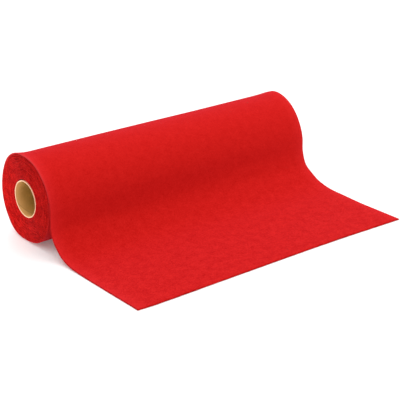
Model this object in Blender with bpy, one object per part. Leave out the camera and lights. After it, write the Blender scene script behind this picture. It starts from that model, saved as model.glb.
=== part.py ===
"""A roll of felt: one length of felt wound on a paperboard core, with its loose end laid out in front.

Metres, +Z up. The roll lies along X. The felt comes off the roll's front and runs out towards -Y on the
surface that the roll rests on. The near end is at -X. Everything is placed about the winding's axis first,
and then moved so that the origin is under the middle of the whole.
"""

from collections import namedtuple
from math import cos, hypot, radians, sin

import bmesh
import bpy
from mathutils import Vector

MM = 0.001

# Driving sizes
FELT_WIDTH = 450 * MM
FELT_THICKNESS = 2 * MM
CORE_BORE_RADIUS = 24.4 * MM
CORE_WALL = 1.4 * MM
CORE_PROUD = 0.5 * MM
AXIS_HEIGHT = 60.5 * MM
# The turns lie slacker under the core than over it, so its axis is above and in front of the winding's
CORE_RISE = 1.6 * MM
CORE_FORWARD = 0.5 * MM
PIECE_GAP = 0.3 * MM

# Sizes that follow from them
HALF_WIDTH = FELT_WIDTH / 2
CORE_RADIUS = CORE_BORE_RADIUS + CORE_WALL
CORE_HALF_LENGTH = HALF_WIDTH + CORE_PROUD
CORE_RIM_ROUNDING = 0.15 * CORE_WALL
CORE_HEIGHT = AXIS_HEIGHT + CORE_RISE

# The wound outline, in mm from the winding's axis. The angle runs with the outer turn: 0 at the front, where
# the loose end leaves, 90 on top, 180 at the back and 270 underneath, and it ends a layer deeper at the
# front, behind the falling sheet. The roll sags over its flat spot, and its end turns flare out, apart from
# the near end's underside, which just clears the floor.
WoundRow = namedtuple("WoundRow", "angle near_end near_body far_body far_end")
WOUND_OUTLINE = (
    WoundRow(0, 61.0, 61.6, 62.4, 63.2),
    WoundRow(25, 62.9, 61.2, 59.8, 60.6),
    WoundRow(60, 64.2, 61.5, 59.2, 60.7),
    WoundRow(90, 64.0, 61.7, 58.8, 61.8),
    WoundRow(110, 64.7, 61.7, 58.8, 59.9),
    WoundRow(150, 60.2, 60.6, 59.5, 60.4),
    WoundRow(180, 59.3, 60.0, 59.8, 60.0),
    WoundRow(210, 60.8, 60.8, 60.3, 60.6),
    WoundRow(237, 63.1, 62.4, 61.4, 61.6),
    WoundRow(270, 58.9, 61.6, 60.7, 61.2),
    WoundRow(305, 59.9, 60.9, 60.5, 60.7),
    WoundRow(356, 57.0, 58.4, 58.9, 59.0),
)
FLARE_LENGTH = 25 * MM

# The loose sheet's upper face, in mm from the winding's axis (y) and from the floor (z), row by row from the
# roll's front down to the floor. It stands a little off the floor along its far edge.
SheetRow = namedtuple("SheetRow", "near_y near_z far_y far_z")
LOOSE_SHEET = (
    SheetRow(-62.0, 48.0, -64.3, 48.3),
    SheetRow(-64.3, 35.0, -68.5, 37.0),
    SheetRow(-69.8, 26.8, -76.0, 26.2),
    SheetRow(-79.3, 17.6, -89.5, 18.2),
    SheetRow(-90.0, 10.0, -106.0, 10.3),
    SheetRow(-104.0, 5.2, -129.0, 5.0),
    SheetRow(-123.0, 2.8, -161.0, 3.4),
    SheetRow(-155.0, 2.0, -200.0, 2.0),
)
# The felt comes off the roll a little askew, towards -X, and lies a little narrower than on the roll
NEAR_DRIFT = -4.2 * MM
FAR_DRIFT = -6.8 * MM

# Where the felt was cut off, in mm: not quite square to the roll
CutRow = namedtuple("CutRow", "x y")
FREE_EDGE = (
    CutRow(-225, -254.5),
    CutRow(-200, -256.3),
    CutRow(-50, -258.0),
    CutRow(100, -260.6),
    CutRow(225, -266.2),
)

# How finely the solids are divided
SECTIONS_MM = (-225, -222, -217, -210, -200, -150, -75, 0, 75, 150, 200, 210, 217, 222, 225)
DEGREES_PER_FACET = 4
FACETS_TO_FIRST_ROW = 2
FACETS_PER_SHEET_ROW = 3
CORE_FACETS = 72

FELT_RED = (0.53, 0.009, 0.008, 1.0)
PAPERBOARD_BROWN = (0.53, 0.32, 0.09, 1.0)


def smooth_value(knots, values, at):
    """A smooth curve through the values, read at one place along the knots."""
    last = len(knots) - 1
    i = max(k for k in range(last) if knots[k] <= at or k == 0)
    span = knots[i + 1] - knots[i]

    def slope(k):
        before, after = max(k - 1, 0), min(k + 1, last)
        return (values[after] - values[before]) / (knots[after] - knots[before])

    t = (at - knots[i]) / span
    rise = values[i + 1] - values[i]
    start, end = slope(i) * span, slope(i + 1) * span
    return values[i] + t * (start + t * (3 * rise - 2 * start - end + t * (start + end - 2 * rise)))


def ease(t):
    """Goes from 0 to 1 without a corner at either end."""
    t = min(max(t, 0.0), 1.0)
    return t * t * (3 - 2 * t)


def far_share(x):
    """How much the shape at a place along the roll takes after the far side."""
    return ease((x + HALF_WIDTH) / FELT_WIDTH)


def wound_radius(angle, x):
    """The wound outline's radius at an angle, at a place along the roll."""
    angles = [row.angle for row in WOUND_OUTLINE]

    def column(name):
        return smooth_value(angles, [getattr(row, name) for row in WOUND_OUTLINE], angle) * MM

    far = far_share(x)
    body = column("near_body") * (1 - far) + column("far_body") * far
    flare = max(0.0, 1 - (HALF_WIDTH - abs(x)) / FLARE_LENGTH) ** 2
    end = column("near_end") if x < 0 else column("far_end")
    return body + (end - body) * flare


def wound_point(angle, x):
    """A point (y, z) of the wound outline. Nothing goes below the floor, which leaves the flat spot."""
    radius = wound_radius(angle, x)
    turn = radians(angle)
    return -radius * cos(turn), max(AXIS_HEIGHT + radius * sin(turn), 0.0)


def free_edge_y(x):
    return smooth_value([row.x for row in FREE_EDGE], [row.y for row in FREE_EDGE], x / MM) * MM


def sheet_route(x):
    """The loose sheet's upper face at one place along the roll, as points (y, z) after the roll's front."""
    far = far_share(x)
    route = [wound_point(DEGREES_PER_FACET, x), wound_point(0, x)]
    for row in LOOSE_SHEET:
        y = row.near_y * (1 - far) + row.far_y * far
        z = row.near_z * (1 - far) + row.far_z * far
        route.append((y * MM, z * MM))
    route.append((free_edge_y(x), FELT_THICKNESS))

    knots = [0.0]
    for before, after in zip(route, route[1:]):
        knots.append(knots[-1] + hypot(after[0] - before[0], after[1] - before[1]))
    ys = [y for y, _ in route]
    zs = [z for _, z in route]
    points = []
    for i in range(1, len(route) - 1):
        facets = FACETS_PER_SHEET_ROW if i > 1 else FACETS_TO_FIRST_ROW
        for facet in range(1, facets + 1):
            at = knots[i] + (knots[i + 1] - knots[i]) * facet / facets
            points.append((smooth_value(knots, ys, at), max(smooth_value(knots, zs, at), FELT_THICKNESS)))
    return points


def sheet_underside(upper, start):
    """The points one thickness under the upper face, square to it, and never below the floor."""
    chain = [start] + upper
    under = []
    for i in range(1, len(chain)):
        before, after = chain[i - 1], chain[min(i + 1, len(chain) - 1)]
        dy, dz = after[0] - before[0], after[1] - before[1]
        length = hypot(dy, dz)
        y = chain[i][0] - dz / length * FELT_THICKNESS
        z = chain[i][1] + dy / length * FELT_THICKNESS
        under.append((y, max(z, 0.0)))
    return under


def drifted(x, y, z):
    """The point in space: the falling sheet works its way sideways until it lies on the floor."""
    fallen = ease((AXIS_HEIGHT - z) / (AXIS_HEIGHT - FELT_THICKNESS))
    drift = NEAR_DRIFT + (FAR_DRIFT - NEAR_DRIFT) * far_share(x)
    return Vector((x + drift * fallen, y, z))


def new_object(name, bm, colour, roughness):
    bmesh.ops.recalc_face_normals(bm, faces=bm.faces)
    mesh = bpy.data.meshes.new(name)
    bm.to_mesh(mesh)
    bm.free()
    mesh.shade_smooth()
    mesh.set_sharp_from_angle(angle=radians(35))
    material = bpy.data.materials.new(name)
    material.use_nodes = True
    shader = material.node_tree.nodes["Principled BSDF"]
    shader.inputs["Base Color"].default_value = colour
    shader.inputs["Roughness"].default_value = roughness
    shader.inputs["Metallic"].default_value = 0.0
    mesh.materials.append(material)
    obj = bpy.data.objects.new(name, mesh)
    bpy.context.scene.collection.objects.link(obj)
    return obj


def make_core_tube():
    """A straight paperboard tube, a little longer than the felt is wide, its rims just rounded."""
    cut = CORE_RIM_ROUNDING
    inner, outer, end = CORE_BORE_RADIUS, CORE_RADIUS, CORE_HALF_LENGTH
    wall = (
        (-end, inner + cut), (-end, outer - cut), (-end + cut, outer), (end - cut, outer),
        (end, outer - cut), (end, inner + cut), (end - cut, inner), (-end + cut, inner),
    )
    bm = bmesh.new()
    ring = [bm.verts.new((x, 0, radius)) for x, radius in wall]
    edges = [bm.edges.new((ring[i], ring[(i + 1) % len(ring)])) for i in range(len(ring))]
    bmesh.ops.spin(
        bm, geom=ring + edges, cent=(0, 0, 0), axis=(1, 0, 0), angle=radians(360),
        steps=CORE_FACETS, use_merge=True,
    )
    bmesh.ops.translate(bm, verts=bm.verts, vec=(0, -CORE_FORWARD, CORE_HEIGHT))
    return new_object("core_tube", bm, PAPERBOARD_BROWN, roughness=0.85)


def make_felt():
    """The wound felt and its loose sheet in one solid, lofted along X through its sections."""
    last_angle = WOUND_OUTLINE[-1].angle
    angles = list(range(0, last_angle + 1, DEGREES_PER_FACET))
    hole_radius = (CORE_RADIUS + PIECE_GAP) / cos(radians(DEGREES_PER_FACET / 2))
    bm = bmesh.new()

    sections = []
    for x_mm in SECTIONS_MM:
        x = x_mm * MM
        wound = [wound_point(angle, x) for angle in angles]
        upper = sheet_route(x)
        under = sheet_underside(upper, wound[0])
        wound_verts = [bm.verts.new((x, y, z)) for y, z in wound]
        upper_verts = [bm.verts.new(drifted(x, y, z)) for y, z in upper]
        # The underside keeps its upper face's place along X, so that the cut edges stay square
        under_verts = [
            bm.verts.new((top.co.x, y, z)) for top, (y, z) in zip(upper_verts, under)
        ]
        sections.append((wound_verts, upper_verts, under_verts))

    for (wound_a, upper_a, under_a), (wound_b, upper_b, under_b) in zip(sections, sections[1:]):
        loop_a = wound_a + under_a + upper_a[::-1]
        loop_b = wound_b + under_b + upper_b[::-1]
        for i in range(len(loop_a)):
            k = (i + 1) % len(loop_a)
            bm.faces.new((loop_a[i], loop_a[k], loop_b[k], loop_b[i]))

    holes = []
    for wound, upper, under in (sections[0], sections[-1]):
        x = wound[0].co.x
        hole = []
        for angle in angles:
            turn = radians(angle)
            y = -CORE_FORWARD - hole_radius * cos(turn)
            hole.append(bm.verts.new((x, y, CORE_HEIGHT + hole_radius * sin(turn))))
        for i in range(len(angles)):
            k = (i + 1) % len(angles)
            bm.faces.new((wound[i], wound[k], hole[k], hole[i]))
        top_chain = [wound[0]] + upper
        under_chain = [wound[-1]] + under
        for i in range(len(upper)):
            bm.faces.new((top_chain[i], top_chain[i + 1], under_chain[i + 1], under_chain[i]))
        holes.append(hole)
    for i in range(len(angles)):
        k = (i + 1) % len(angles)
        bm.faces.new((holes[0][i], holes[0][k], holes[1][k], holes[1][i]))

    return new_object("felt", bm, FELT_RED, roughness=0.95)


def put_origin_under_middle(pieces):
    """Moves the pieces so that the origin lies under the middle of the box that holds them."""
    points = [piece.matrix_world @ vertex.co for piece in pieces for vertex in piece.data.vertices]
    low = [min(point[axis] for point in points) for axis in range(3)]
    high = [max(point[axis] for point in points) for axis in range(3)]
    middle = Vector(((low[0] + high[0]) / 2, (low[1] + high[1]) / 2, low[2]))
    for piece in pieces:
        piece.location -= middle


def main():
    for obj in list(bpy.data.objects):
        bpy.data.objects.remove(obj, do_unlink=True)
    pieces = [make_core_tube(), make_felt()]
    bpy.context.view_layer.update()
    put_origin_under_middle(pieces)


main()
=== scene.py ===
"""A roll of red felt on a paperboard core, lying on a table with its loose end drawn out flat in front.

Metres, +Z up. The roll lies along X with its near end at -X, and the felt is drawn out towards -Y. The
felt's places are given from the winding's axis, and moved to the frame where its pieces are made.
"""

from collections import namedtuple
from math import atan2, cos, hypot, pi, radians, sin

import bpy
from bpy.props import FloatProperty, FloatVectorProperty, IntProperty, PointerProperty
from mathutils import Matrix, Vector, noise


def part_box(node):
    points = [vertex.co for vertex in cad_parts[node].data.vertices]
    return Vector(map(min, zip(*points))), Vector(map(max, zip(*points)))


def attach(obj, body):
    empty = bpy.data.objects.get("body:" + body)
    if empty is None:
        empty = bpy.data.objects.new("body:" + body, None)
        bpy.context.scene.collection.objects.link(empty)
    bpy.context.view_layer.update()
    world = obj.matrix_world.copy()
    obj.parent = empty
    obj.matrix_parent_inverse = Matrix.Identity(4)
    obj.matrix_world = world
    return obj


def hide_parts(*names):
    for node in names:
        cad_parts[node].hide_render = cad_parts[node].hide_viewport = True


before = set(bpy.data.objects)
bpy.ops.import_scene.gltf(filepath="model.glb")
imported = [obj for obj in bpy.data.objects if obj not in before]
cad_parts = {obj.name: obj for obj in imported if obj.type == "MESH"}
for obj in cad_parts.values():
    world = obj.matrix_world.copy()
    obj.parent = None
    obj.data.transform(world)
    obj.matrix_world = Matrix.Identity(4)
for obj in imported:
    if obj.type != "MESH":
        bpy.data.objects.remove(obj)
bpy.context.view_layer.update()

bl_info = {
    "name": "Roll of felt",
    "version": (1, 0, 0),
    "blender": (4, 5, 0),
    "location": "3D View > Sidebar > Felt roll",
    "description": "Makes a roll of pressed felt on its paperboard core, with the loose end laid out",
    "category": "Add Mesh",
}

MM = 0.001

CORE_LOW, CORE_HIGH = (Vector(corner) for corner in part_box("core_tube"))
CORE_MIDDLE = (CORE_LOW + CORE_HIGH) / 2
CORE_RADIUS = (CORE_HIGH.z - CORE_LOW.z) / 2
CORE_HALF_LENGTH = (CORE_HIGH.x - CORE_LOW.x) / 2

# The turns lie slacker under the core than over it, so its axis is above and in front of the winding's
CORE_RISE = 1.6 * MM
CORE_FORWARD = 0.5 * MM
WINDING_MIDDLE = CORE_MIDDLE + Vector((0.0, CORE_FORWARD, -CORE_RISE))
AXIS_HEIGHT = WINDING_MIDDLE.z

# The wound outline, in mm from the winding's axis. The angle runs with the outer turn: 0 at the front,
# where the loose end leaves, 90 on top, 180 at the back and 270 underneath, and it ends a layer deeper at
# the front, behind the falling sheet. The roll sags over its flat spot and draws in low on its near front.
# Its end turns mostly flare out, and the near end's underside just clears the floor.
WoundRow = namedtuple("WoundRow", "angle near_end near_body far_body far_end")
WOUND_OUTLINE = (
    WoundRow(0, 61.0, 61.6, 62.4, 63.2),
    WoundRow(25, 62.9, 61.2, 59.8, 60.9),
    WoundRow(60, 64.2, 61.5, 59.2, 61.5),
    WoundRow(90, 64.0, 61.7, 58.8, 62.3),
    WoundRow(110, 64.9, 61.7, 58.8, 59.9),
    WoundRow(130, 63.7, 61.2, 59.1, 60.1),
    WoundRow(150, 60.5, 60.6, 59.5, 60.4),
    WoundRow(180, 59.3, 60.0, 59.8, 60.0),
    WoundRow(210, 60.8, 60.8, 60.3, 60.6),
    WoundRow(237, 63.1, 62.4, 61.4, 61.6),
    WoundRow(270, 58.9, 61.6, 60.7, 61.2),
    WoundRow(305, 60.2, 59.0, 60.5, 60.7),
    WoundRow(330, 60.0, 57.4, 60.0, 60.2),
    WoundRow(356, 58.4, 57.9, 58.9, 59.0),
)
LAST_OUTLINE_ANGLE = WOUND_OUTLINE[-1].angle
FLARE_LENGTH = 25 * MM

# The loose sheet's upper face, in mm from the winding's axis (y) and from the floor (z), row by row from
# the roll's front down to the floor
SheetRow = namedtuple("SheetRow", "near_y near_z far_y far_z")
LOOSE_SHEET = (
    SheetRow(-62.0, 48.0, -64.3, 48.3),
    SheetRow(-64.3, 35.0, -68.5, 37.0),
    SheetRow(-69.8, 26.8, -76.0, 26.2),
    SheetRow(-79.3, 17.6, -89.5, 18.2),
    SheetRow(-90.0, 10.0, -106.0, 10.3),
    SheetRow(-104.0, 5.2, -129.0, 5.0),
    SheetRow(-123.0, 2.8, -161.0, 3.4),
    SheetRow(-155.0, 2.0, -200.0, 2.0),
)
# The felt comes off the roll a little askew, towards -X, and lies a little narrower than on the roll
NEAR_DRIFT = -4.2 * MM
FAR_DRIFT = -6.0 * MM

# Where the felt was cut off, in mm: not quite square to the roll
CutRow = namedtuple("CutRow", "x y")
FREE_EDGE = (
    CutRow(-225, -254.8),
    CutRow(-200, -256.8),
    CutRow(-50, -258.7),
    CutRow(100, -261.4),
    CutRow(225, -267.6),
)

# How the turns lie: the outline of an even winding, and how much each turn keeps of the outer turn's flare
EVEN_OUTER_RADIUS = 61.6 * MM
FLARE_KEPT_PER_TURN = 0.8
# Over how many degrees of the second turn the step at the outer turn's end evens out
STEP_FADE = 150
# Over how many degrees the flare at that end gives way to the flare over it, and where that starts
FLARE_FADE = 28
FLARE_FADE_START = 2
# The outer turn and the loose end are one piece, which meets the inner turns where the falling sheet hides
# the join
MEETING_ANGLE = 372
DEGREES_PER_INNER_STATION = 4
DEGREES_PER_OUTER_STATION = 3
LOOSE_STATIONS = 74
COLUMN_SPACING = 4 * MM
# Over this length of the loose end, the felt springs back to its full thickness
SPRING_BACK_LENGTH = 40 * MM

# A cut edge's rounding: how far in from the cut, and how much of the half thickness is left there
EDGE_ROUNDING = ((0.34 * MM, 0.84), (0.07 * MM, 0.42), (0.0, 0.0), (0.07 * MM, -0.42), (0.34 * MM, -0.84))
EDGE_INSET = 0.8 * MM
# The free end's rounding: how far on towards the cut, and how much of the thickness is left there
CUT_END_ROUNDING = ((0.36 * MM, 0.66), (EDGE_INSET, 0.22))

# How far in from the cuts the meshes have their columns: the inner turns', and the outer turn's, with the
# place where its even ones begin
INNER_COLUMNS = (EDGE_INSET, 3 * MM, 10 * MM, FLARE_LENGTH)
OUTER_COLUMNS = (EDGE_INSET, 2.5 * MM)
FIRST_EVEN_COLUMN = 5 * MM

# How the cut edges wander: from turn to turn, along each turn and from tuft to tuft. The reach is how far in
# from a cut the felt still moves with it.
CutWander = namedtuple("CutWander", "length share seed")
CUT_WANDERS = (CutWander(230 * MM, 1.5, 2), CutWander(45 * MM, 1.0, 0), CutWander(2.5 * MM, 0.25, 5))
CUT_SEEDS = ((-1, 3), (1, 4))
CUT_REACH = 30 * MM
# The free end's small bites: how long and how deep they are, and how far in the felt still moves with them
BITE_LENGTH = 6 * MM
BITE_DEPTH = 0.3 * MM
BITE_REACH = 9 * MM
# The broad faces' swells: their length across and along the felt, and where they die out beside the cuts
SWELL_ACROSS = 60 * MM
SWELL_ALONG = 45 * MM
SWELL_MARGIN = 18 * MM

# The core's cut rims: how far the wall's corners are rounded, and the notches at the glue between the plies
RIM_CORNER_DEPTH = 0.30 * MM
RIM_CORNER_WIDTH = 0.12 * MM
NOTCH_DEPTH = 0.06 * MM
NOTCH_STEP = 0.01 * MM
NOTCH_HALF_WIDTH = 0.07 * MM
RIM_MARGIN = 1.8 * MM
CORE_COLUMN_SPACING = 12 * MM
CORE_FACETS = 120
# How deep the rims are torn and how many times round, and how far and how long the tube's wall bulges
TORN_DEPTH = 0.12 * MM
TEARS_ROUND = 9
CORE_BULGE = 0.06 * MM
CORE_BULGE_LENGTH = 60 * MM

# How far in from the cut edges the top of the roll gets its painted highlight, and how strongly the margins
# beside the cuts (partly fluffed fibres, partly painted sheen), that painted highlight and the painted
# highlight on the outer turn's topmost cut edges show
HIGHLIGHT_RIM = 5 * MM
FLUFF_AND_SHEEN_SHARE = 0.26
RIM_HIGHLIGHT_SHARE = 0.25
LIP_HIGHLIGHT_SHARE = 0.55
# What the felt's colours keep of their red, green and blue at its cuts, darker partly as the fibre ends'
# own look and partly as painted shade between the wound turns and on the free end's cut face; and at the
# outer turn's cuts
SHADED_CUT_DEEP_SHARES = (0.68, 0.5, 0.5)
SHADED_CUT_PALE_SHARES = (1.06, 0.9, 0.9)
# The outer turn's cuts keep more of the lighter colours: painted light, as their edges catch light unshaded
LIT_EDGE_SHARES = (0.66, 0.45, 0.45)
# The winding smooths the felt, and the loose end gets rougher over its first stretch
WOUND_UNEVENNESS = 0.8
LOOSE_UNEVENNESS = 1.9
ROUGHER_STRETCH = (20 * MM, 150 * MM)
FACE_SHEEN = 0.16
CUT_SHEEN = 0.05
SHEEN_TINT = (1.0, 0.13, 0.29, 1.0)
# How each bed of fibres lies, in degrees, and its shift in the noise
FIBRE_BEDS = ((14, 0.0), (73, 3.7), (128, 8.1))

# The noises in the felt and the board: how many finer layers they have, how rough they are and how far
# they swirl
Noise = namedtuple("Noise", "detail roughness swirl")
FELT_CLOUDS = Noise(3.0, 0.55, 0.4)
FELT_TUFTS = Noise(2.0, 0.6, 0.8)
FELT_FIBRES = Noise(1.0, 0.5, 0.35)
BOARD_STREAKS = Noise(2.0, 0.5, 0.3)
BOARD_PATCHES = Noise(3.0, 0.5, 0.2)
BOARD_GRAIN = Noise(2.0, 0.6, 0.0)
BOARD_SPECKS = Noise(1.0, 0.5, 0.0)
# The noise levels between which the fibres and the specks come out, and the fibres' mean after that
FIBRE_LEVELS = (0.42, 0.82)
FIBRE_MEAN = 0.35
SPECK_LEVELS = (0.66, 0.76)
# Where the pits start and where they are deepest, as shares of their spacing, and the share that is left out
PIT_REACH = (0.24, 0.05)
PITS_LEFT_OUT = 0.55

# How pale the felt and the board are as a whole, and how much paler their parts make them
FELT_PALENESS = 0.48
FELT_PALER = namedtuple("FeltPaler", "clouds tufts fibres pits")(0.7, 1.3, 0.6, -0.5)
BOARD_PALENESS = 0.5
BOARD_PALER = namedtuple("BoardPaler", "streaks patches grain specks")(1.1, 1.3, 0.8, -0.6)
# How high their parts stand against each other
FELT_HEIGHTS = namedtuple("FeltHeights", "tufts fibres pits")(0.7, 0.5, -0.5)
BOARD_HEIGHTS = namedtuple("BoardHeights", "streaks grain")(0.6, 0.4)
# How rough they are, and what the felt's fibres and the board's patches add to that
FELT_ROUGHNESS = (0.90, 0.06)
BOARD_ROUGHNESS = (0.74, 0.16)

# How strongly each finish's relief shows, and how high it is
Relief = namedtuple("Relief", "strength height")
FACE_RELIEF = Relief(0.55, 0.35 * MM)
CUT_RELIEF = Relief(0.8, 0.5 * MM)
BOARD_RELIEF = Relief(0.7, 0.25 * MM)
RIM_RELIEF = Relief(0.7, 0.2 * MM)

# The core's butted spiral seam: where it starts, its half width without and with its soft sides, how it
# shades the board and sinks into it, and over what share of its pitch the board rises beside it, and how far
SEAM_PHASE = 0.62
SEAM_HALF_WIDTHS = (0.25 * MM, 0.9 * MM)
SEAM_SHARES = (0.62, 0.55, 0.5)
SEAM_STRENGTH = 0.35
SEAM_HEIGHT = -1.0
RISE_SHARE = 0.06
RISE_HEIGHT = 0.8
# The board painted paler towards the core's ends: painted light, for the light that comes in at the open
# ends
LIT_END_LENGTH = 22 * MM
LIT_END_SHARES = (1.35, 1.22, 1.7)
LIT_END_STRENGTH = 0.9
# The glue shows near the plies' faces, between these shares of a ply from its middle
GLUE_REACH = (0.34, 0.5)
GLUE_STRENGTH = 0.3

# The soft lights: where each stands, what it is aimed at and how wide it is
SoftLight = namedtuple("SoftLight", "name place aim size")
TOP_LIGHT = SoftLight("top_light", (0.15, 0.25, 1.7), (0.0, 0.0, 0.0), 2.2)
FRONT_LIGHT = SoftLight("front_light", (1.2, -0.9, 0.9), (0.05, 0.0, 0.05), 1.0)
SIDE_LIGHT = SoftLight("side_light", (-0.30, 0.20, 0.02), (-0.227, 0.14, 0.035), 0.06)
FLOOR_REACH = 14.0

# How the camera stands: its place, its heading from +Y towards +X, its tilt down and its roll
CAMERA_PLACE = Vector((-0.98073, -1.18808, 0.67448))
CAMERA_HEADING = radians(39.3406)
CAMERA_TILT = radians(22.5325)
CAMERA_ROLL = radians(0.0472)
CAMERA_SENSOR = 36.0
CAMERA_LENS = 108.405
CAMERA_CLIP = (0.05, 60.0)


def length_setting(name, description, default, low, high):
    """A length that the user can change."""
    return FloatProperty(
        name=name, description=description, default=default, min=low, max=high, unit="LENGTH"
    )


def colour_setting(name, description, default):
    """A colour that the user can change."""
    return FloatVectorProperty(
        name=name, description=description, subtype="COLOR", size=4, default=default, min=0.0, max=1.0
    )


class FeltSettings(bpy.types.PropertyGroup):
    """The felt's sizes and colours."""

    width: length_setting("Width", "The felt's width, which is the roll's length", 450 * MM, 0.1, 2.0)
    thickness: length_setting("Thickness", "Thickness of the loose felt", 2.0 * MM, 0.0005, 0.006)
    wound_thickness: length_setting(
        "Wound thickness", "Thickness of the felt where the winding presses it", 1.86 * MM, 0.0005, 0.006
    )
    turns: IntProperty(
        name="Turns", description="How many times the felt goes round the core",
        default=17, min=3, max=40,
    )
    core_gap: length_setting(
        "Gap at the core", "Room between the core and the first turn", 0.19 * MM, 0.0, 0.002
    )
    uneven_cut: length_setting(
        "Uneven cut", "How far the cut edges wander along the roll", 0.5 * MM, 0.0, 0.003
    )
    unevenness: length_setting("Unevenness", "How far the surface swells and dips", 0.22 * MM, 0.0, 0.002)
    deep_colour: colour_setting("Deep colour", "The felt between its fibres", (0.43, 0.0034, 0.0020, 1.0))
    pale_colour: colour_setting("Pale colour", "The fibres that stand up most", (0.60, 0.0138, 0.0108, 1.0))
    # Partly the fluffed fibres beside the cut edges, partly a painted sheen: paler and pinker than the felt
    fluff_and_sheen_colour: colour_setting(
        "Fluff and sheen colour", "The fluffed fibres beside the cut edges", (0.78, 0.032, 0.036, 1.0)
    )
    # A painted highlight: the colour the topmost cut edges and the roll's top rims are painted, for the
    # light they catch
    highlight_colour: colour_setting(
        "Highlight colour", "The loose fibres on the outer turn's topmost cut edges", (0.74, 0.056, 0.060, 1.0)
    )
    # How far in from the cut edges that margin of fluff and painted sheen reaches
    fluff_and_sheen_width: length_setting(
        "Fluff and sheen width", "How far in from the cut edges the felt is fluffed", 26 * MM, 0.0, 0.1
    )
    cloud_size: length_setting(
        "Cloud size", "Width of the clouds where the fibres lie thicker or thinner", 11 * MM, 0.001, 0.1
    )


class CoreSettings(bpy.types.PropertyGroup):
    """The paperboard core's sizes and colours."""

    wall: length_setting("Wall", "Thickness of the core's wall", 1.4 * MM, 0.0005, 0.01)
    set_back: length_setting(
        "Set back", "How far the rims stand back from the solid core's ends", 0.3 * MM, 0.0, 0.01
    )
    plies: IntProperty(
        name="Plies", description="How many layers of board the wall has",
        default=3, min=1, max=12,
    )
    seam_pitch: length_setting(
        "Seam pitch", "How far the spiral seam goes along the core in one turn", 74 * MM, 0.01, 0.3
    )
    board_deep: colour_setting("Board, deep", "The board's darker fibres", (0.40, 0.232, 0.050, 1.0))
    board_pale: colour_setting("Board, pale", "The board's paler fibres", (0.61, 0.375, 0.108, 1.0))
    rim_deep: colour_setting("Cut rim, deep", "The cut rim between its plies", (0.86, 0.48, 0.29, 1.0))
    rim_pale: colour_setting("Cut rim, pale", "The cut rim's torn paper fibres", (1.0, 0.70, 0.47, 1.0))


class StageSettings(bpy.types.PropertyGroup):
    """The floor's and the lights' looks."""

    floor_colour: colour_setting("Floor", "Colour of the floor", (0.86, 0.86, 0.86, 1.0))
    surround: FloatProperty(
        name="Surround", description="Strength of the even white light from all round",
        default=0.87, min=0.0, max=10.0,
    )
    top_power: FloatProperty(
        name="Top light", description="Power of the large soft light above",
        default=20.7, min=0.0, max=1000.0, unit="POWER",
    )
    front_power: FloatProperty(
        name="Front light", description="Power of the soft light in front, beside the far end",
        default=3.8, min=0.0, max=1000.0, unit="POWER",
    )
    side_power: FloatProperty(
        name="Side light", description="Power of the small soft light beside the near end",
        default=0.11, min=0.0, max=1000.0, unit="POWER",
    )
    floor_glow: FloatProperty(
        name="Floor glow", description="Light that comes up through the floor, as on a light table",
        default=0.15, min=0.0, max=10.0,
    )


class FeltRollSettings(bpy.types.PropertyGroup):
    """All the settings of the roll of felt."""

    felt: PointerProperty(type=FeltSettings, name="Felt", description="The felt")
    core: PointerProperty(type=CoreSettings, name="Core", description="The paperboard core")
    stage: PointerProperty(type=StageSettings, name="Stage", description="The floor and the lights")


def smooth_value(knots, values, at):
    """A smooth curve through the values, read at one place along the knots."""
    last = len(knots) - 1
    i = max(k for k in range(last) if knots[k] <= at or k == 0)
    span = knots[i + 1] - knots[i]

    def slope(k):
        before, after = max(k - 1, 0), min(k + 1, last)
        return (values[after] - values[before]) / (knots[after] - knots[before])

    t = (at - knots[i]) / span
    rise = values[i + 1] - values[i]
    start, end = slope(i) * span, slope(i + 1) * span
    return values[i] + t * (start + t * (3 * rise - 2 * start - end + t * (start + end - 2 * rise)))


def ease(t):
    """Goes from 0 to 1 without a corner at either end."""
    t = min(max(t, 0.0), 1.0)
    return t * t * (3 - 2 * t)


def wander(seed, *place):
    """A smooth random value between -1 and 1 at a place."""
    point = Vector((*place, 0.0, 0.0)[:3])
    return noise.noise(point + Vector((seed * 17.3, seed * 5.1, seed * 9.7)))


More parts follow.
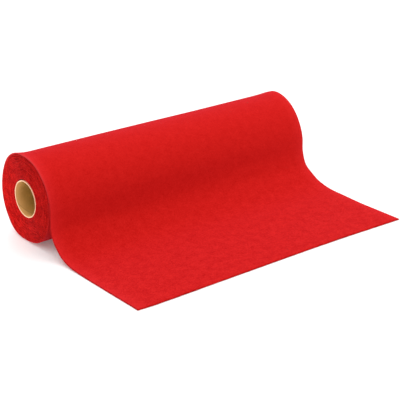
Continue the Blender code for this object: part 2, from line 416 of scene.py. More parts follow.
class Winding:
    """Where the felt's outer face lies, turn by turn and along the loose end."""

    def __init__(self, felt):
        self.felt = felt
        self.half_width = felt.width / 2
        self.first_radius = CORE_RADIUS + felt.core_gap + felt.wound_thickness
        self.pitch = (EVEN_OUTER_RADIUS - self.first_radius) / felt.turns
        self.last_angle = felt.turns * 360
        self.angles = [row.angle for row in WOUND_OUTLINE]

    def far_share(self, x):
        """How much the shape at a place along the roll takes after the far side."""
        return ease((x + self.half_width) / (2 * self.half_width))

    def even_radius(self, total_angle):
        """The outer face's radius in an even winding."""
        return EVEN_OUTER_RADIUS - self.pitch * total_angle / 360

    def depth(self, total_angle):
        """0 on the outer turn, and 1 at the core."""
        return max(0.0, (total_angle - 360) / (self.last_angle - 360))

    def wound_distance(self, total_angle):
        """How far along the felt, counted outwards from the roll's front: below 0 on the roll."""
        turn = radians(total_angle)
        return -(EVEN_OUTER_RADIUS * turn - self.pitch * turn ** 2 / (4 * pi))

    def outline(self, angle, x):
        """The outer turn's radius away from the ends, and what the flare adds at the ends."""
        angle = min(angle, LAST_OUTLINE_ANGLE)

        def column(name):
            return smooth_value(self.angles, [getattr(row, name) for row in WOUND_OUTLINE], angle) * MM

        far = self.far_share(x)
        body = column("near_body") * (1 - far) + column("far_body") * far
        flare = max(0.0, 1 - (self.half_width - abs(x)) / FLARE_LENGTH) ** 2
        end = column("near_end") if x < 0 else column("far_end")
        return body, (end - body) * flare

    def radius(self, total_angle, x):
        """The outer face's radius. The total angle starts at the front and goes on deeper, turn by turn."""
        if total_angle <= LAST_OUTLINE_ANGLE:
            return sum(self.outline(total_angle, x))
        angle = total_angle % 360
        turn = int(total_angle // 360)
        if turn == 0:
            past_outline = total_angle - LAST_OUTLINE_ANGLE
            return sum(self.outline(LAST_OUTLINE_ANGLE, x)) - self.pitch * past_outline / 360

        first_body, _ = self.outline(0, x)
        last_body, last_flare = self.outline(LAST_OUTLINE_ANGLE, x)
        body, flare = self.outline(angle, x)
        deeper = self.pitch * (360 - LAST_OUTLINE_ANGLE) / 360
        step = (first_body - last_body + deeper) - self.pitch
        # The second turn starts where the outer one ended, and takes after the one over it from there on
        extra = body - self.even_radius(angle) - step * (1 - ease(angle / STEP_FADE))
        extra_flare = last_flare * (1 - ease(angle / FLARE_FADE))
        extra_flare += flare * ease((angle - FLARE_FADE_START) / FLARE_FADE)
        kept = FLARE_KEPT_PER_TURN ** ((total_angle - 360) / 360)
        return self.even_radius(total_angle) + extra * (1 - self.depth(total_angle)) + extra_flare * kept

    def wound_point(self, total_angle, x):
        """A point (y, z) of the outer face on the roll, no lower than the layers under it let it go."""
        radius = self.radius(total_angle, x)
        turn = radians(total_angle)
        lowest = self.pitch * int(total_angle // 360)
        depth = self.depth(total_angle)
        middle = AXIS_HEIGHT + CORE_RISE * depth
        return -CORE_FORWARD * depth - radius * cos(turn), max(middle + radius * sin(turn), lowest)

    def loose_route(self, x):
        """The loose sheet's upper face at one place along the roll, as knots and points after the front."""
        far = self.far_share(x)
        route = [self.wound_point(DEGREES_PER_OUTER_STATION, x), self.wound_point(0, x)]
        for row in LOOSE_SHEET:
            y = row.near_y * (1 - far) + row.far_y * far
            z = row.near_z * (1 - far) + row.far_z * far
            route.append((y * MM, z * MM))
        cut = smooth_value([row.x for row in FREE_EDGE], [row.y for row in FREE_EDGE], x / MM) * MM
        route.append((cut, self.felt.thickness))
        knots = [0.0]
        for before, after in zip(route, route[1:]):
            knots.append(knots[-1] + hypot(after[0] - before[0], after[1] - before[1]))
        return knots, [y for y, _ in route], [z for _, z in route]

    def loose_points(self, x, stations):
        """Points (y, z) along the loose sheet's upper face, after the roll's front."""
        knots, ys, zs = self.loose_route(x)
        start, end = knots[1], knots[-1] - EDGE_INSET
        points = []
        for station in range(1, stations + 1):
            at = start + (end - start) * station / stations
            z = max(smooth_value(knots, zs, at), self.felt.thickness)
            points.append((smooth_value(knots, ys, at), z))
        return points

    def drift(self, x, z):
        """How far sideways the falling sheet has worked its way at a height above the floor."""
        fallen = ease((AXIS_HEIGHT - z) / (AXIS_HEIGHT - self.felt.thickness))
        return (NEAR_DRIFT + (FAR_DRIFT - NEAR_DRIFT) * self.far_share(x)) * fallen


Station = namedtuple("Station", "total_angle along thickness")


def stations_of(winding, angles, loose):
    """The places along the felt that its mesh goes through, from the inside out."""
    felt = winding.felt
    stations = [Station(angle, winding.wound_distance(angle), felt.wound_thickness) for angle in angles]
    if loose:
        middle = [winding.wound_point(0, 0.0)] + winding.loose_points(0.0, LOOSE_STATIONS)
        along = 0.0
        for k in range(1, len(middle)):
            along += hypot(middle[k][0] - middle[k - 1][0], middle[k][1] - middle[k - 1][1])
            pressed = 1 - ease(along / SPRING_BACK_LENGTH)
            thickness = felt.thickness + (felt.wound_thickness - felt.thickness) * pressed
            stations.append(Station(None, along, thickness))
    return stations


def faces_at(winding, x, stations):
    """The outer and inner face's points (y, z) at one place along the roll, and the way out of the felt."""
    outer = [winding.wound_point(s.total_angle, x) for s in stations if s.total_angle is not None]
    wound = len(outer)
    if wound < len(stations):
        outer += winding.loose_points(x, len(stations) - wound)
    points = []
    for i, (station, (y, z)) in enumerate(zip(stations, outer)):
        if i < wound:
            turn = radians(station.total_angle)
            out = (-cos(turn), sin(turn))
        else:
            before, after = outer[i - 1], outer[min(i + 1, len(outer) - 1)]
            dy, dz = after[0] - before[0], after[1] - before[1]
            length = hypot(dy, dz)
            out = (dz / length, -dy / length)
        inner = (y - out[0] * station.thickness, z - out[1] * station.thickness)
        points.append(((y, z), inner, out))
    return points


def felt_strip(winding, columns, angles, loose):
    """The points, map places and faces of a closed strip of felt with rounded cut edges."""
    felt = winding.felt
    half = winding.half_width
    stations = stations_of(winding, angles, loose)
    lines = {x: faces_at(winding, x, stations) for x in (-half, *columns, half)}
    verts, places = [], []

    def cut_shift(x, along):
        """How far a point near a cut edge moves with that edge's unevenness."""
        shift = 0.0
        for side, seed in CUT_SEEDS:
            near = ease(1 - (half - side * x) / CUT_REACH)
            if near:
                swing = sum(wander(seed + w.seed, along / w.length) * w.share for w in CUT_WANDERS)
                shift += swing * felt.uneven_cut * near
        return shift

    def add_point(x, i, share, inset=0.0, advance=0.0):
        """Adds a point in the felt's thickness, from 1 on its outer face to -1 on its inner one."""
        station = stations[i]
        outer, inner, out = lines[x][i]
        y = (outer[0] * (1 + share) + inner[0] * (1 - share)) / 2
        z = (outer[1] * (1 + share) + inner[1] * (1 - share)) / 2
        lying = station.total_angle is None
        if loose:
            swell = 0.5 + 0.5 * wander(1, x / SWELL_ACROSS, station.along / SWELL_ALONG)
            swell *= felt.unevenness
            swell *= ease((half - abs(x)) / SWELL_MARGIN)
            y += out[0] * swell
            z += out[1] * swell
        if lying:
            y -= advance
            left = stations[-1].along - station.along
            y += wander(12, x / BITE_LENGTH) * BITE_DEPTH * ease(1 - left / BITE_REACH)
        drift = winding.drift(x, outer[1]) if lying else 0.0
        moved = x - (inset if x > 0 else -inset) + drift + cut_shift(x, station.along)
        verts.append(WINDING_MIDDLE + Vector((moved, y, max(z, 0.0) - AXIS_HEIGHT)))
        places.append((x, station.along + advance))

    def add_loop(i, thick=1.0, advance=0.0):
        """Adds the points round the felt at one of its stations."""
        for x in columns:
            add_point(x, i, thick, advance=advance)
        for inset, share in EDGE_ROUNDING:
            add_point(half, i, share * thick, inset, advance)
        for x in reversed(columns):
            add_point(x, i, -thick, advance=advance)
        for inset, share in reversed(EDGE_ROUNDING):
            add_point(-half, i, share * thick, inset, advance)

    for i in range(len(stations)):
        add_loop(i)
    loops = len(stations)
    if loose:
        for advance, thick in CUT_END_ROUNDING:
            add_loop(len(stations) - 1, thick, advance)
            loops += 1

    across, rim = len(columns), len(EDGE_ROUNDING)
    size = 2 * (across + rim)
    faces, kinds = [], []
    for i in range(loops - 1):
        rounded = i >= len(stations) - 1
        for j in range(size):
            k = (j + 1) % size
            faces.append((i * size + j, (i + 1) * size + j, (i + 1) * size + k, i * size + k))
            flat = j < across - 1 or across + rim <= j < 2 * across + rim - 1
            kinds.append(2 if rounded else 0 if flat else 1)
    under = [2 * across + rim - 1 - j for j in range(across)]
    for start, turned in ((0, 1), ((loops - 1) * size, -1)):
        caps = [(j, j + 1, under[j + 1], under[j]) for j in range(across - 1)]
        caps.append(tuple(range(across - 1, across + rim + 1)))
        caps.append((0, under[0], *range(2 * across + rim, size)))
        for cap in caps:
            faces.append(tuple(start + j for j in cap)[::turned])
            kinds.append(2 if loose and start else 1)
    return verts, places, faces, kinds


def add_mesh_object(name, verts, faces, kinds=None, corners=None):
    """A new object, with its faces' materials by kind and its corners' places on a map in metres."""
    mesh = bpy.data.meshes.new(name)
    mesh.from_pydata([tuple(v) for v in verts], [], faces)
    if kinds:
        mesh.polygons.foreach_set("material_index", kinds)
    if corners:
        mesh.uv_layers.new(name="metres").data.foreach_set("uv", corners)
    mesh.shade_smooth()
    mesh.validate()
    mesh.update()
    obj = bpy.data.objects.new(name, mesh)
    bpy.context.scene.collection.objects.link(obj)
    return obj


def even_columns(start, end, spacing):
    """Evenly spaced places from start to end, both included."""
    steps = max(1, round((end - start) / spacing))
    return [start + (end - start) * k / steps for k in range(steps + 1)]


# Node helpers


def add_node(tree, kind, inputs=(), **settings):
    """A new node with its settings, and with its inputs' values or links."""
    node = tree.nodes.new(kind)
    for name, value in settings.items():
        setattr(node, name, value)
    for key, value in dict(inputs).items():
        if isinstance(value, bpy.types.NodeSocket):
            tree.links.new(value, node.inputs[key])
        else:
            node.inputs[key].default_value = value
    return node


def maths(tree, operation, *values, clamp=False):
    """The result of a Math node."""
    return add_node(
        tree, "ShaderNodeMath", dict(enumerate(values)), operation=operation, use_clamp=clamp
    ).outputs[0]


def vector_maths(tree, operation, *values):
    """The vector result of a Vector Math node."""
    return add_node(tree, "ShaderNodeVectorMath", dict(enumerate(values)), operation=operation).outputs[0]


def spread(tree, value, low, high):
    """The value stretched so that low becomes 0 and high becomes 1, and no further."""
    return add_node(
        tree, "ShaderNodeMapRange", {"Value": value, "From Min": low, "From Max": high}, clamp=True
    ).outputs["Result"]


def mixed(tree, share, first, second):
    """A colour between two colours."""
    return add_node(
        tree, "ShaderNodeMix", {0: share, 6: first, 7: second}, data_type="RGBA"
    ).outputs[2]


def noise_at(tree, place, scale, shape):
    """A noise value around 0.5 at a place."""
    return add_node(tree, "ShaderNodeTexNoise", {
        "Vector": place,
        "Scale": scale,
        "Detail": shape.detail,
        "Roughness": shape.roughness,
        "Distortion": shape.swirl,
    }).outputs["Fac"]


def noise_of_size(tree, place, size, finer, shape):
    """A noise value at a place, whose clouds are this many times finer than the size."""
    return noise_at(tree, place, maths(tree, "DIVIDE", finer, size), shape)


def turned_flat(tree, place, angle):
    """The place turned about Z."""
    return add_node(
        tree, "ShaderNodeVectorRotate", {"Vector": place, "Angle": angle}, rotation_type="Z_AXIS"
    ).outputs[0]


def joined(tree, *parts):
    """A vector from its three parts."""
    return add_node(tree, "ShaderNodeCombineXYZ", dict(enumerate(parts))).outputs[0]


def parts_of(tree, place):
    """A vector's three parts."""
    return add_node(tree, "ShaderNodeSeparateXYZ", {0: place}).outputs


def new_group(name, inputs):
    """A node group that gives a surface's colour, height and roughness, and its input and output nodes."""
    tree = bpy.data.node_groups.new(name, "ShaderNodeTree")
    for label, kind, value in inputs:
        socket = tree.interface.new_socket(label, in_out="INPUT", socket_type=kind)
        if value is not None:
            socket.default_value = value
    for label, kind in (("Colour", "Color"), ("Height", "Float"), ("Roughness", "Float")):
        tree.interface.new_socket(label, in_out="OUTPUT", socket_type="NodeSocket" + kind)
    return tree, tree.nodes.new("NodeGroupInput"), tree.nodes.new("NodeGroupOutput")


def put_out(tree, result, colour, height, roughness):
    """Links a group's colour, height and roughness to its output node."""
    for i, value in enumerate((colour, height, roughness)):
        tree.links.new(value, result.inputs[i])


def pressed_felt_group():
    """Pressed felt: clouds of thicker and thinner felt, short fibres lying three ways, and small pits."""
    name = "Pressed felt"
    if name in bpy.data.node_groups:
        return bpy.data.node_groups[name]
    tree, given, result = new_group(
        name,
        (
            ("Place", "NodeSocketVector", None),
            ("Deep Colour", "NodeSocketColor", (0.43, 0.0034, 0.0020, 1.0)),
            ("Pale Colour", "NodeSocketColor", (0.60, 0.0138, 0.0108, 1.0)),
            ("Cloud Size", "NodeSocketFloat", 0.011),
            ("Unevenness", "NodeSocketFloat", 1.0),
            ("Fibre Length", "NodeSocketFloat", 0.0035),
            ("Fibre Width", "NodeSocketFloat", 0.00032),
            ("Pit Spacing", "NodeSocketFloat", 0.0042),
        ),
    )
    place = given.outputs["Place"]
    cloud_size = given.outputs["Cloud Size"]
    clouds = noise_of_size(tree, place, cloud_size, 1.0, FELT_CLOUDS)
    tufts = noise_of_size(tree, place, cloud_size, 5.0, FELT_TUFTS)

    fibre_width = given.outputs["Fibre Width"]
    fibre_size = joined(tree, given.outputs["Fibre Length"], fibre_width, fibre_width)
    beds = []
    for degrees, shift in FIBRE_BEDS:
        stretched = vector_maths(tree, "DIVIDE", turned_flat(tree, place, radians(degrees)), fibre_size)
        stretched = vector_maths(tree, "ADD", stretched, (shift, shift, shift))
        beds.append(noise_at(tree, stretched, 1.0, FELT_FIBRES))
    fibres = maths(tree, "MAXIMUM", maths(tree, "MAXIMUM", beds[0], beds[1]), beds[2])
    fibres = spread(tree, fibres, *FIBRE_LEVELS)

    pits_in_a_metre = maths(tree, "DIVIDE", 1.0, given.outputs["Pit Spacing"])
    pits = add_node(
        tree, "ShaderNodeTexVoronoi", {"Vector": place, "Scale": pits_in_a_metre, "Randomness": 1.0}
    )
    small = spread(tree, pits.outputs["Distance"], *PIT_REACH)
    lot = add_node(tree, "ShaderNodeSeparateColor", {0: pits.outputs["Color"]}).outputs[0]
    pit = maths(tree, "MULTIPLY", small, maths(tree, "GREATER_THAN", lot, PITS_LEFT_OUT))

    cloudy = maths(tree, "MULTIPLY", maths(tree, "SUBTRACT", clouds, 0.5), FELT_PALER.clouds)
    uneven = maths(tree, "MULTIPLY_ADD", maths(tree, "SUBTRACT", tufts, 0.5), FELT_PALER.tufts, cloudy)
    share = maths(tree, "MULTIPLY_ADD", uneven, given.outputs["Unevenness"], FELT_PALENESS)
    fibres_off = maths(tree, "SUBTRACT", fibres, FIBRE_MEAN)
    share = maths(tree, "MULTIPLY_ADD", fibres_off, FELT_PALER.fibres, share)
    share = maths(tree, "MULTIPLY_ADD", pit, FELT_PALER.pits, share, clamp=True)
    colour = mixed(tree, share, given.outputs["Deep Colour"], given.outputs["Pale Colour"])

    height = maths(tree, "MULTIPLY", fibres, FELT_HEIGHTS.fibres)
    height = maths(tree, "MULTIPLY_ADD", tufts, FELT_HEIGHTS.tufts, height)
    height = maths(tree, "MULTIPLY_ADD", pit, FELT_HEIGHTS.pits, height)
    base, added = FELT_ROUGHNESS
    put_out(tree, result, colour, height, maths(tree, "MULTIPLY_ADD", fibres, added, base))
    return tree


def paper_fibre_group():
    """Paperboard: streaks of fibre along one way, specks of darker pulp and cloudy patches."""
    name = "Paper fibres"
    if name in bpy.data.node_groups:
        return bpy.data.node_groups[name]
    tree, given, result = new_group(
        name,
        (
            ("Place", "NodeSocketVector", None),
            ("Deep Colour", "NodeSocketColor", (0.36, 0.20, 0.085, 1.0)),
            ("Pale Colour", "NodeSocketColor", (0.56, 0.36, 0.17, 1.0)),
            ("Streak Length", "NodeSocketFloat", 0.009),
            ("Streak Width", "NodeSocketFloat", 0.0005),
            ("Patch Size", "NodeSocketFloat", 0.018),
        ),
    )
    place = given.outputs["Place"]
    streak_width = given.outputs["Streak Width"]
    streak_size = joined(tree, given.outputs["Streak Length"], streak_width, streak_width)
    streaks = noise_at(tree, vector_maths(tree, "DIVIDE", place, streak_size), 1.0, BOARD_STREAKS)
    patch_size = given.outputs["Patch Size"]
    patches = noise_of_size(tree, place, patch_size, 1.0, BOARD_PATCHES)
    grain = noise_of_size(tree, place, patch_size, 30.0, BOARD_GRAIN)
    specks = spread(tree, noise_of_size(tree, place, patch_size, 14.0, BOARD_SPECKS), *SPECK_LEVELS)
    share = BOARD_PALENESS
    for value, paler in zip((streaks, patches, grain), BOARD_PALER):
        share = maths(tree, "MULTIPLY_ADD", maths(tree, "SUBTRACT", value, 0.5), paler, share)
    share = maths(tree, "MULTIPLY_ADD", specks, BOARD_PALER.specks, share, clamp=True)
    colour = mixed(tree, share, given.outputs["Deep Colour"], given.outputs["Pale Colour"])

    height = maths(tree, "MULTIPLY", grain, BOARD_HEIGHTS.grain)
    height = maths(tree, "MULTIPLY_ADD", streaks, BOARD_HEIGHTS.streaks, height)
    base, added = BOARD_ROUGHNESS
    put_out(tree, result, colour, height, maths(tree, "MULTIPLY_ADD", patches, added, base))
    return tree


def new_material(name, colour):
    """A new material, its shader and its tree. The colour is for the plain view."""
    material = bpy.data.materials.new(name)
    material.use_nodes = True
    material.diffuse_color = colour
    return material, material.node_tree, material.node_tree.nodes["Principled BSDF"]


def dress(tree, shader, colour, roughness, height, relief):
    """Gives the shader its colour and roughness, and lets the height raise the surface."""
    bump = add_node(tree, "ShaderNodeBump", {
        "Height": height,
        "Strength": relief.strength,
        "Distance": relief.height,
    })
    tree.links.new(colour, shader.inputs["Base Color"])
    tree.links.new(roughness, shader.inputs["Roughness"])
    tree.links.new(bump.outputs["Normal"], shader.inputs["Normal"])


def set_inputs(node, values):
    """Gives some of the node's inputs their values."""
    for name, value in values.items():
        node.inputs[name].default_value = value


def set_felt_sheen(shader, weight):
    """Matt felt with the soft rim of light that its loose fibres catch."""
    set_inputs(shader, {
        "Specular IOR Level": 0.03,
        "Sheen Weight": weight,
        "Sheen Roughness": 0.45,
        "Sheen Tint": SHEEN_TINT,
    })


def lit_top_share(tree):
    """How far up the roll a place is: 0 at half its height, and 1 on top, where the rims get a painted
    highlight.
    """
    place = add_node(tree, "ShaderNodeTexCoord").outputs["Object"]
    return spread(tree, parts_of(tree, place)[2], AXIS_HEIGHT, 2 * AXIS_HEIGHT)


def felt_face_material(felt):
    """The felt's broad faces. Their fibres follow the cloth round the roll."""
    material, tree, shader = new_material("Red felt, face", felt.pale_colour)
    map_place = add_node(tree, "ShaderNodeUVMap", uv_map="metres").outputs["UV"]
    across, along, _ = parts_of(tree, map_place)
    loose = spread(tree, along, *ROUGHER_STRETCH)
    rougher = LOOSE_UNEVENNESS - WOUND_UNEVENNESS
    group = add_node(tree, "ShaderNodeGroup", {
        "Place": map_place,
        "Deep Colour": felt.deep_colour,
        "Pale Colour": felt.pale_colour,
        "Cloud Size": felt.cloud_size,
        "Unevenness": maths(tree, "MULTIPLY_ADD", loose, rougher, WOUND_UNEVENNESS),
    }, node_tree=pressed_felt_group())
    half = felt.width / 2
    from_middle = maths(tree, "ABSOLUTE", across)
    # Paler and pinker towards the cut edges: partly fluffed fibres, partly painted sheen
    fluff_and_sheen = spread(tree, from_middle, half - felt.fluff_and_sheen_width, half)
    fluff_and_sheen = maths(tree, "MULTIPLY", maths(tree, "POWER", fluff_and_sheen, 2.0), FLUFF_AND_SHEEN_SHARE)
    # Painted highlight: the cut edges on top of the roll are painted paler and pinker, for the light the
    # rims catch
    rim = maths(tree, "MULTIPLY", spread(tree, from_middle, half - HIGHLIGHT_RIM, half), lit_top_share(tree))
    colour = mixed(tree, fluff_and_sheen, group.outputs["Colour"], felt.fluff_and_sheen_colour)
    colour = mixed(tree, maths(tree, "MULTIPLY", rim, RIM_HIGHLIGHT_SHARE), colour, felt.highlight_colour)
    dress(tree, shader, colour, group.outputs["Roughness"], group.outputs["Height"], FACE_RELIEF)
    set_felt_sheen(shader, FACE_SHEEN)
    return material


def felt_cut_material(felt, name, deep, pale, fluffed=0.0):
    """The felt's cut edges, where the fibre ends stand out in small tufts. The topmost may get a painted
    highlight.
    """
    material, tree, shader = new_material(name, pale)
    place = add_node(tree, "ShaderNodeTexCoord").outputs["Object"]
    # The ends of the roll lie across X, so their fibres are laid out in Y and Z
    x, y, z = parts_of(tree, place)
    group = add_node(tree, "ShaderNodeGroup", {
        "Place": joined(tree, y, z, x),
        "Deep Colour": deep,
        "Pale Colour": pale,
        "Cloud Size": 9 * MM,
        "Unevenness": 2.0,
        "Fibre Length": 1.1 * MM,
        "Fibre Width": 0.28 * MM,
        "Pit Spacing": 2.1 * MM,
    }, node_tree=pressed_felt_group())
    colour = group.outputs["Colour"]
    # Here fluffed is how strongly the topmost cut edges get a painted highlight
    if fluffed:
        colour = mixed(tree, maths(tree, "MULTIPLY", lit_top_share(tree), fluffed), colour, felt.highlight_colour)
    dress(tree, shader, colour, group.outputs["Roughness"], group.outputs["Height"], CUT_RELIEF)
    set_felt_sheen(shader, CUT_SHEEN)
    return material


def shaded(colour, shares):
    """A colour with each of its parts made weaker or stronger."""
    return [min(value * share, 1.0) for value, share in zip(colour, (*shares, 1.0))]


def felt_materials(felt, outer):
    """The face material, made once for both pieces, and the piece's own cut edge materials."""
    face = bpy.data.materials.get("Red felt, face") or felt_face_material(felt)
    # The inner turns' and the free end's cuts: darker, partly the fibre ends' own look, partly painted shade
    deep = shaded(felt.deep_colour, SHADED_CUT_DEEP_SHARES)
    pale = shaded(felt.pale_colour, SHADED_CUT_PALE_SHARES)
    if not outer:
        return [face, felt_cut_material(felt, "Red felt, wound edges", deep, pale)]
    # The outer turn's cut edges are painted lighter, for the light they catch, with a painted highlight on
    # top
    lit_edge_deep = shaded(felt.pale_colour, LIT_EDGE_SHARES)
    lit_edge_pale = shaded(felt.fluff_and_sheen_colour, LIT_EDGE_SHARES)
    lip = felt_cut_material(felt, "Red felt, outer edges", lit_edge_deep, lit_edge_pale, fluffed=LIP_HIGHLIGHT_SHARE)
    return [face, lip, felt_cut_material(felt, "Red felt, free end", deep, pale)]


def board_material(core):
    """The board inside and outside the core: fibres along the wound strip, and its butted spiral seam."""
    material, tree, shader = new_material("Core board", core.board_pale)
    place = add_node(tree, "ShaderNodeUVMap", uv_map="metres").outputs["UV"]
    along, around, _ = parts_of(tree, place)
    girth = 2 * pi * CORE_RADIUS
    lean = atan2(core.seam_pitch, girth)
    group = add_node(tree, "ShaderNodeGroup", {
        "Place": turned_flat(tree, place, lean - pi / 2),
        "Deep Colour": core.board_deep,
        "Pale Colour": core.board_pale,
    }, node_tree=paper_fibre_group())

    # The seam lies at a phase of a half
    turns_along = maths(tree, "DIVIDE", along, core.seam_pitch)
    turns = maths(tree, "ADD", turns_along, maths(tree, "DIVIDE", around, girth))
    phase = maths(tree, "FRACT", maths(tree, "ADD", turns, SEAM_PHASE))
    from_seam = maths(tree, "ABSOLUTE", maths(tree, "SUBTRACT", phase, 0.5))
    inner_half, outer_half = SEAM_HALF_WIDTHS
    seam = spread(tree, maths(tree, "MULTIPLY", from_seam, core.seam_pitch), outer_half, inner_half)
    rise = spread(tree, phase, 0.5, 0.5 + RISE_SHARE)

    # Painted light: the board grows paler towards the core's open ends, where light comes in
    from_middle = maths(tree, "ABSOLUTE", along)
    lit_end = spread(tree, from_middle, CORE_HALF_LENGTH - LIT_END_LENGTH, CORE_HALF_LENGTH)
    lit_end = maths(tree, "MULTIPLY", maths(tree, "POWER", lit_end, 2.0), LIT_END_STRENGTH)
    colour = mixed(tree, lit_end, group.outputs["Colour"], shaded(core.board_pale, LIT_END_SHARES))
    seam_colour = shaded(core.board_deep, SEAM_SHARES)
    colour = mixed(tree, maths(tree, "MULTIPLY", seam, SEAM_STRENGTH), colour, seam_colour)
    height = maths(tree, "MULTIPLY_ADD", seam, SEAM_HEIGHT, group.outputs["Height"])
    height = maths(tree, "MULTIPLY_ADD", rise, RISE_HEIGHT, height)
    dress(tree, shader, colour, group.outputs["Roughness"], height, BOARD_RELIEF)
    shader.inputs["Specular IOR Level"].default_value = 0.25
    return material


def cut_board_material(core):
    """The core's cut rims: pale torn paper, a little darker at the glue between the plies."""
    material, tree, shader = new_material("Core board, cut rim", core.rim_pale)
    place = add_node(tree, "ShaderNodeTexCoord").outputs["Object"]
    group = add_node(tree, "ShaderNodeGroup", {
        "Place": place,
        "Deep Colour": core.rim_deep,
        "Pale Colour": core.rim_pale,
        "Streak Length": 1.2 * MM,
        "Streak Width": 0.4 * MM,
        "Patch Size": 9 * MM,
    }, node_tree=paper_fibre_group())
    from_axis = vector_maths(tree, "SUBTRACT", place, (0.0, CORE_MIDDLE.y, CORE_MIDDLE.z))
    _, y, z = parts_of(tree, from_axis)
    squares = maths(tree, "ADD", maths(tree, "POWER", y, 2.0), maths(tree, "POWER", z, 2.0))
    below_face = maths(tree, "SUBTRACT", CORE_RADIUS, maths(tree, "SQRT", squares))
    layer = maths(tree, "DIVIDE", below_face, core.wall / core.plies)
    from_ply_middle = maths(tree, "ABSOLUTE", maths(tree, "SUBTRACT", maths(tree, "FRACT", layer), 0.5))
    glue = maths(tree, "MULTIPLY", spread(tree, from_ply_middle, *GLUE_REACH), GLUE_STRENGTH)
    colour = mixed(tree, glue, group.outputs["Colour"], core.rim_deep)
    dress(tree, shader, colour, group.outputs["Roughness"], group.outputs["Height"], RIM_RELIEF)
    shader.inputs["Specular IOR Level"].default_value = 0.2
    return material


class FELTROLL_OT_core(bpy.types.Operator):
    """Make the paperboard core, with its plies showing at the cut rims"""

    bl_idname = "felt_roll.core"
    bl_label = "Make the core"

    def execute(self, context):
        core = context.scene.felt_roll.core
        inner = CORE_RADIUS - core.wall
        ply = core.wall / core.plies
        rim = [(RIM_CORNER_DEPTH, inner), (NOTCH_DEPTH, inner + RIM_CORNER_WIDTH)]
        for k in range(1, core.plies):
            at = inner + k * ply
            rim += [(0.0, at - NOTCH_HALF_WIDTH), (NOTCH_DEPTH, at), (NOTCH_STEP, at + NOTCH_HALF_WIDTH)]
        rim += [(NOTCH_DEPTH, CORE_RADIUS - RIM_CORNER_WIDTH), (RIM_CORNER_DEPTH, CORE_RADIUS)]
        rim.append((RIM_MARGIN, CORE_RADIUS))
        half = CORE_HALF_LENGTH - core.set_back
        wall = even_columns(-half + CORE_COLUMN_SPACING, half - CORE_COLUMN_SPACING, CORE_COLUMN_SPACING)
        profile = [(-half + depth, radius, 1) for depth, radius in rim]
        profile += [(x, CORE_RADIUS, 0) for x in (wall[0], wall[-1])]
        profile += [(half - depth, radius, 1) for depth, radius in reversed(rim)]
        profile += [(x, inner, 0) for x in reversed(wall)]

        verts, faces, kinds, corners = [], [], [], []
        for i in range(CORE_FACETS):
            turn = 2 * pi * i / CORE_FACETS
            for x, radius, cut in profile:
                side = -1 if x < 0 else 1
                torn = wander(21 + side, cos(turn) * TEARS_ROUND, sin(turn) * TEARS_ROUND) * TORN_DEPTH
                torn = abs(torn) if cut else 0.0
                bulge = wander(25, x / CORE_BULGE_LENGTH, cos(turn), sin(turn)) * CORE_BULGE
                verts.append(CORE_MIDDLE + Vector((
                    x - side * torn, (radius + bulge) * cos(turn), (radius + bulge) * sin(turn)
                )))
        size = len(profile)
        for i in range(CORE_FACETS):
            for j in range(size):
                k = (j + 1) % size
                after = (i + 1) % CORE_FACETS
                faces.append((i * size + j, i * size + k, after * size + k, after * size + j))
                kinds.append(1 if profile[j][2] and profile[k][2] else 0)
                for at, place in ((i, j), (i, k), (i + 1, k), (i + 1, j)):
                    corners += (profile[place][0], 2 * pi * CORE_RADIUS * at / CORE_FACETS)
        obj = add_mesh_object("board_core", verts, faces, kinds, corners)
        obj.data.materials.append(board_material(core))
        obj.data.materials.append(cut_board_material(core))
        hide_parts("core_tube")
        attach(obj, "root")
        return {"FINISHED"}


class FELTROLL_OT_inner_turns(bpy.types.Operator):
    """Wind the inner turns of felt on the core"""

    bl_idname = "felt_roll.inner_turns"
    bl_label = "Wind the inner turns"

    def execute(self, context):
        winding = Winding(context.scene.felt_roll.felt)
        half = winding.half_width
        columns = [half - inset for inset in INNER_COLUMNS]
        columns = [-x for x in columns] + columns[::-1]
        angles = list(range(winding.last_angle, MEETING_ANGLE - 1, -DEGREES_PER_INNER_STATION))
        make_felt_piece("felt_inner_turns", winding, columns, angles, loose=False)
        return {"FINISHED"}


class FELTROLL_OT_outer_turn(bpy.types.Operator):
    """Lay the outer turn over the roll, and its loose end down to the table"""

    bl_idname = "felt_roll.outer_turn"
    bl_label = "Lay the outer turn and the loose end"

    def execute(self, context):
        winding = Winding(context.scene.felt_roll.felt)
        half = winding.half_width
        ends = [half - inset for inset in OUTER_COLUMNS]
        between = even_columns(-half + FIRST_EVEN_COLUMN, half - FIRST_EVEN_COLUMN, COLUMN_SPACING)
        columns = [-x for x in ends] + between + ends[::-1]
        angles = list(range(MEETING_ANGLE, -1, -DEGREES_PER_OUTER_STATION))
        make_felt_piece("felt_outer_turn", winding, columns, angles, loose=True)
        return {"FINISHED"}


def make_felt_piece(name, winding, columns, angles, loose):
    """Makes one piece of the felt, which stands for the solid."""
    verts, places, faces, kinds = felt_strip(winding, columns, angles, loose)
    corners = [value for face in faces for corner in face for value in places[corner]]
    obj = add_mesh_object(name, verts, faces, kinds, corners)
    for material in felt_materials(winding.felt, outer=loose):
        obj.data.materials.append(material)
    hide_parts("felt")
    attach(obj, "root")


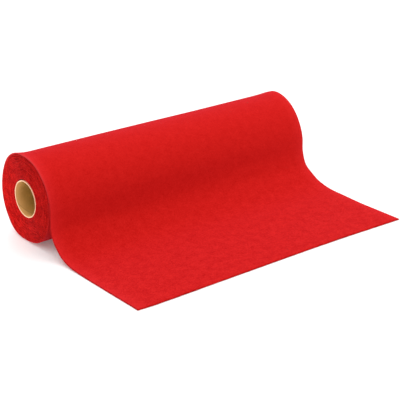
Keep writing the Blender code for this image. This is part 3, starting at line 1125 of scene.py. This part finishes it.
class FELTROLL_OT_stage(bpy.types.Operator):
    """Set the floor, the soft studio lights and the camera"""

    bl_idname = "felt_roll.stage"
    bl_label = "Set the stage"

    def execute(self, context):
        stage = context.scene.felt_roll.stage
        self.lay_floor(stage)
        self.light(context, stage)
        self.place_camera(context)
        context.scene.view_settings.view_transform = "Standard"
        return {"FINISHED"}

    def lay_floor(self, stage):
        corners = [(x * FLOOR_REACH, y * FLOOR_REACH, 0) for x, y in ((-1, -1), (1, -1), (1, 1), (-1, 1))]
        floor = add_mesh_object("floor", corners, [(0, 1, 2, 3)])
        material, _, shader = new_material("Pale floor", stage.floor_colour)
        set_inputs(shader, {
            "Base Color": stage.floor_colour,
            "Roughness": 0.9,
            "Specular IOR Level": 0.1,
            "Emission Color": stage.floor_colour,
            "Emission Strength": stage.floor_glow,
        })
        floor.data.materials.append(material)

    def light(self, context, stage):
        world = bpy.data.worlds.new("Surround")
        world.use_nodes = True
        background = world.node_tree.nodes["Background"]
        set_inputs(background, {"Color": (1.0, 1.0, 1.0, 1.0), "Strength": stage.surround})
        context.scene.world = world
        self.add_soft_light(TOP_LIGHT, stage.top_power)
        self.add_soft_light(FRONT_LIGHT, stage.front_power)
        self.add_soft_light(SIDE_LIGHT, stage.side_power)

    def add_soft_light(self, light, power):
        lamp = bpy.data.lights.new(light.name, "AREA")
        lamp.shape = "SQUARE"
        lamp.size = light.size
        lamp.energy = power
        obj = bpy.data.objects.new(light.name, lamp)
        obj.visible_camera = False
        obj.location = light.place
        obj.rotation_mode = "QUATERNION"
        obj.rotation_quaternion = (Vector(light.aim) - Vector(light.place)).to_track_quat("-Z", "Y")
        bpy.context.scene.collection.objects.link(obj)

    def place_camera(self, context):
        level_ahead = Vector((sin(CAMERA_HEADING), cos(CAMERA_HEADING), 0.0))
        ahead = level_ahead * cos(CAMERA_TILT) - Vector((0.0, 0.0, sin(CAMERA_TILT)))
        level = Vector((cos(CAMERA_HEADING), -sin(CAMERA_HEADING), 0.0))
        upright = level.cross(ahead)
        right = level * cos(CAMERA_ROLL) + upright * sin(CAMERA_ROLL)
        up = upright * cos(CAMERA_ROLL) - level * sin(CAMERA_ROLL)
        data = bpy.data.cameras.new("camera")
        data.sensor_width = CAMERA_SENSOR
        data.lens = CAMERA_LENS
        data.clip_start, data.clip_end = CAMERA_CLIP
        camera = bpy.data.objects.new("camera", data)
        turned = Matrix((right, up, -ahead)).transposed().to_4x4()
        camera.matrix_world = Matrix.Translation(CAMERA_PLACE) @ turned
        context.scene.collection.objects.link(camera)
        context.scene.camera = camera


class FELTROLL_PT_panel(bpy.types.Panel):
    """Makes the roll of felt piece by piece"""

    bl_label = "Felt roll"
    bl_idname = "FELTROLL_PT_panel"
    bl_space_type = "VIEW_3D"
    bl_region_type = "UI"
    bl_category = "Felt roll"

    def draw(self, context):
        settings = context.scene.felt_roll
        layout = self.layout
        for label, group, operators in (
            ("Core", settings.core, ("felt_roll.core",)),
            ("Felt", settings.felt, ("felt_roll.inner_turns", "felt_roll.outer_turn")),
            ("Stage", settings.stage, ("felt_roll.stage",)),
        ):
            box = layout.box()
            box.label(text=label)
            for name in group.__annotations__:
                box.prop(group, name)
            for operator in operators:
                box.operator(operator)


CLASSES = (
    FeltSettings,
    CoreSettings,
    StageSettings,
    FeltRollSettings,
    FELTROLL_OT_core,
    FELTROLL_OT_inner_turns,
    FELTROLL_OT_outer_turn,
    FELTROLL_OT_stage,
    FELTROLL_PT_panel,
)


def register():
    for cls in CLASSES:
        bpy.utils.register_class(cls)
    bpy.types.Scene.felt_roll = PointerProperty(type=FeltRollSettings)


def unregister():
    del bpy.types.Scene.felt_roll
    for cls in reversed(CLASSES):
        bpy.utils.unregister_class(cls)


def main():
    register()
    bpy.ops.felt_roll.core()
    bpy.ops.felt_roll.inner_turns()
    bpy.ops.felt_roll.outer_turn()
    bpy.ops.felt_roll.stage()


if __name__ == "__main__":
    main()
